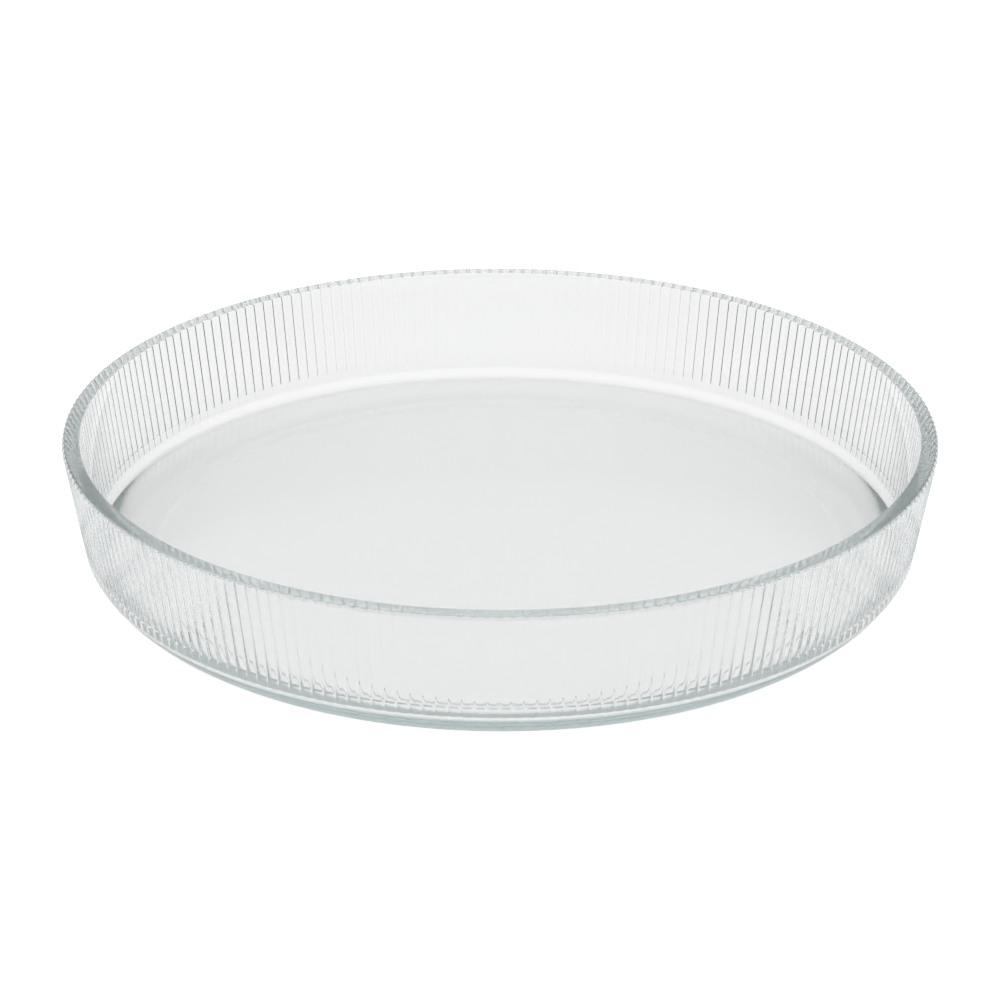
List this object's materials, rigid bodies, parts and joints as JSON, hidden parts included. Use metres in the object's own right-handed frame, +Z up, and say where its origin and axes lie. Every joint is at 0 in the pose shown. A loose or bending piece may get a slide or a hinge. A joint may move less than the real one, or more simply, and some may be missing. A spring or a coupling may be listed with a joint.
{
  "type": "baking dish",
  "caption": "Round shallow baking dish of clear pressed glass: leaning wall with fine upright flutes outside, smooth inside, flat rim, rounded foot and thick flat base.",
  "frame": {"origin": "centre of the flat underside, on the surface that the dish stands on", "axes": "+Z up along the axis that the dish is round about; X and Y are alike"},
  "size_m": [0.28, 0.28, 0.0473],
  "materials": {
    "clear_glass": "clear fire-polished pressed glass, smooth and glossy, with a faint blue-green tint where it is thick"
  },
  "bodies": {
    "root": {"glass_dish": "clear_glass"}
  },
  "joints": []
}
